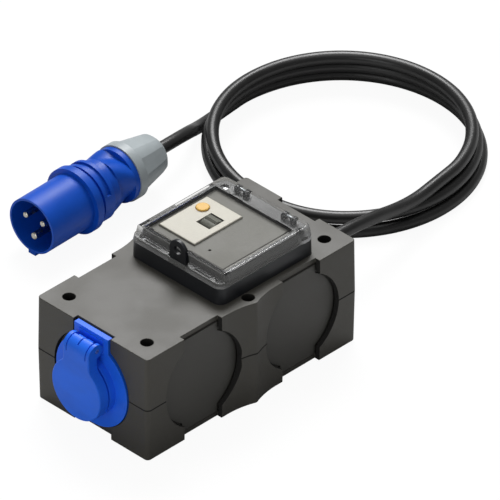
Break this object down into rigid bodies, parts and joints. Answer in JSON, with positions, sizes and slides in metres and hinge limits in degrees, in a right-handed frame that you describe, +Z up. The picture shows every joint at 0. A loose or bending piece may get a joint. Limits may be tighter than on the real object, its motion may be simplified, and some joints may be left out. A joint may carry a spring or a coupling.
{
  "type": "portable power distribution box with residual current breaker",
  "caption": "Rubber portable power box with a residual current breaker under a hinged clear window, a lidded outlet socket, and a round pin plug on a coiled cable.",
  "frame": {"origin": "centre of the housing's underside, on the surface that it stands on", "axes": "+X along the housing from the socket end to the cable gland, +Z up, so +Y points to the side where the plug lies"},
  "size_m": [0.4859, 0.2767, 0.12],
  "materials": {
    "housing_rubber": "moulded black rubber, fine matt grain",
    "black_plastic": "black moulded nylon",
    "blue_plastic": "blue moulded thermoplastic, satin gloss",
    "grey_plastic": "light grey moulded plastic",
    "plate_grey": "grey plastic plate",
    "white_plastic": "white breaker case",
    "amber_plastic": "amber push button",
    "clear_plastic": "clear polycarbonate",
    "zinc_steel": "zinc plated steel",
    "brass": "turned brass",
    "nickel_brass": "nickel plated brass pins",
    "seal_rubber": "soft black seal rubber",
    "cable_rubber": "black rubber cable sheath, slight sheen",
    "ferrite": "wound toroid core"
  },
  "bodies": {
    "housing": {"top_shell": "housing_rubber", "bottom_shell": "housing_rubber", "blank_plate_near_front": "black_plastic", "blank_plate_near_rear": "black_plastic", "blank_plate_far_front": "black_plastic", "blank_plate_far_rear": "black_plastic", "socket_carrier": "black_plastic", "gland_plate": "black_plastic", "cable_gland": "black_plastic", "gland_locknut": "black_plastic", "gland_cap_nut": "black_plastic", "window_frame": "black_plastic", "socket_core": "black_plastic", "socket_flange": "blue_plastic", "plug_housing": "blue_plastic", "plug_grip": "blue_plastic", "plug_pin_carrier": "blue_plastic", "plug_gland_nut": "grey_plastic", "device_plate": "plate_grey", "rail_clip": "plate_grey", "trip_relay": "plate_grey", "rcd_base": "white_plastic", "rcd_cover": "white_plastic", "shell_screws": "zinc_steel", "frame_screws": "zinc_steel", "din_rail": "zinc_steel", "rail_screws": "zinc_steel", "lid_spring": "zinc_steel", "window_hinge_pins": "zinc_steel", "test_button_spring": "zinc_steel", "terminal_screws": "zinc_steel", "earth_clip": "zinc_steel", "screw_inserts": "brass", "line_contacts": "brass", "rcd_terminals": "brass", "fixed_contacts": "brass", "line_pins": "nickel_brass", "earth_pin": "nickel_brass", "gland_seal": "seal_rubber", "window_seal": "seal_rubber", "plug_cord_clamp": "seal_rubber", "plug_lead": "cable_rubber", "cable_coil": "cable_rubber", "box_lead": "cable_rubber", "toroid_core": "ferrite"},
    "cover": {"window_cover": "clear_plastic"},
    "lid": {"socket_lid": "blue_plastic", "lid_pin": "zinc_steel", "lid_seal": "seal_rubber"},
    "toggle": {"rcd_toggle": "grey_plastic", "toggle_pin": "zinc_steel"},
    "test_button": {"rcd_test_button": "amber_plastic"},
    "bridge": {"contact_bridge": "black_plastic"}
  },
  "joints": [
    {"name": "cover_hinge", "type": "hinge", "parent": "housing", "child": "cover", "pos_m": [0.069, 0, 0.106], "axis": [0, 1, 0], "range_deg": [0, 105]},
    {"name": "lid_hinge", "type": "hinge", "parent": "housing", "child": "lid", "pos_m": [-0.1117, 0, 0.0774], "axis": [0, 1, 0], "range_deg": [0, 95], "stiffness_Nm_per_rad": 0.03, "springref_deg": -28.65},
    {"name": "toggle_hinge", "type": "hinge", "parent": "housing", "child": "toggle", "pos_m": [0.0254, 0.0123, 0.0995], "axis": [0, 1, 0], "range_deg": [-54, 0]},
    {"name": "test_button_press", "type": "slide", "parent": "housing", "child": "test_button", "axis": [0, 0, -1], "range_m": [0, 0.0015], "stiffness_N_per_m": 300, "springref_m": -0.002, "deforming": ["test_button_spring"]},
    {"name": "bridge_hinge", "type": "hinge", "parent": "housing", "child": "bridge", "pos_m": [0.0254, 0.018, 0.0795], "axis": [0, 1, 0], "range_deg": [-16.3, 0]}
  ],
  "couplings": [
    {"joint": "bridge_hinge", "follows": "toggle_hinge", "ratio": 0.3}
  ]
}
